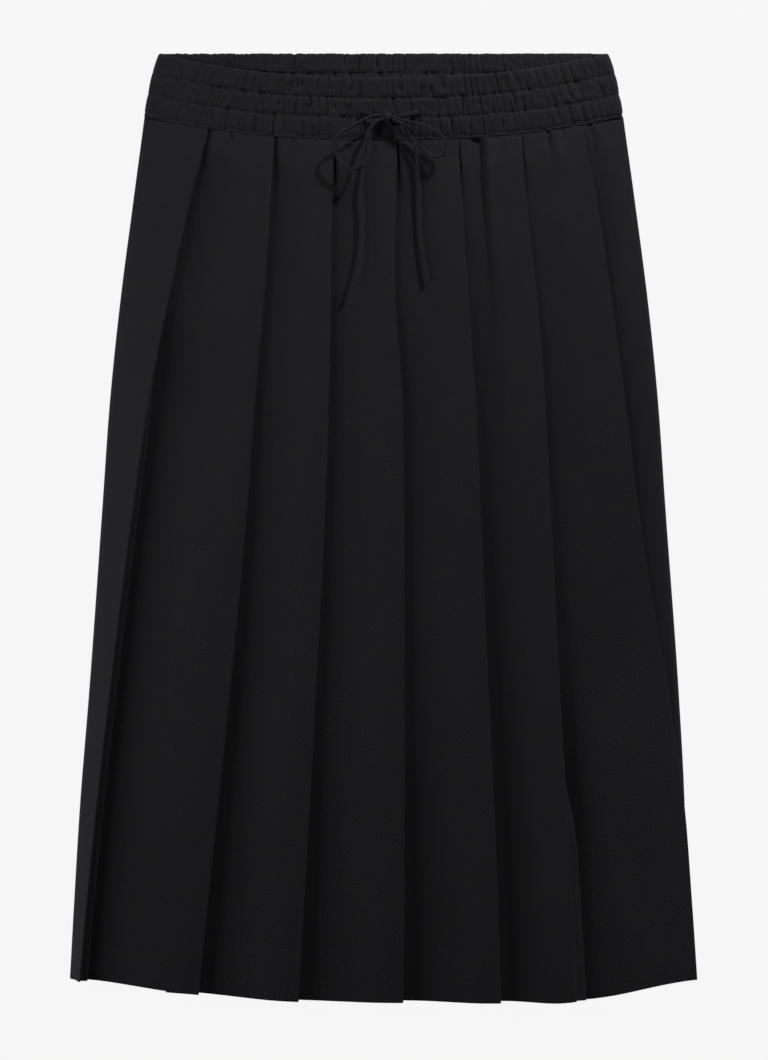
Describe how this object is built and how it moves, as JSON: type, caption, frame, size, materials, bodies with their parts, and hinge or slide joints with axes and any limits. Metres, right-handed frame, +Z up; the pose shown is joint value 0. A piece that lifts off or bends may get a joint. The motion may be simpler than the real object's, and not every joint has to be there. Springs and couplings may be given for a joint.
{
  "type": "pleated midi skirt",
  "caption": "Black knife-pleated midi skirt laid flat, with a gathered elastic waistband in three casings and a thin drawstring tied in a bow.",
  "frame": {"origin": "middle of the underside's box, on the surface that the skirt lies on", "axes": "+Y towards the waist, +X to the right seen from above, +Z up, out of the skirt's front"},
  "size_m": [0.494, 0.7479, 0.0214],
  "materials": {
    "suiting": "matt black fine-woven suiting with a soft sheen",
    "casing": "the same black suiting, gathered over elastic",
    "drawstring": "thin round black cord, matt"
  },
  "bodies": {
    "root": {"skirt_front": "suiting", "skirt_back": "suiting", "waistband_front": "casing", "waistband_back": "casing", "drawstring_lead_left": "drawstring", "drawstring_lead_right": "drawstring", "drawstring_loop_left": "drawstring", "drawstring_loop_right": "drawstring", "drawstring_tail_left": "drawstring", "drawstring_tail_right": "drawstring", "drawstring_knot": "drawstring", "drawstring_end_left": "drawstring", "drawstring_end_right": "drawstring"}
  },
  "joints": []
}
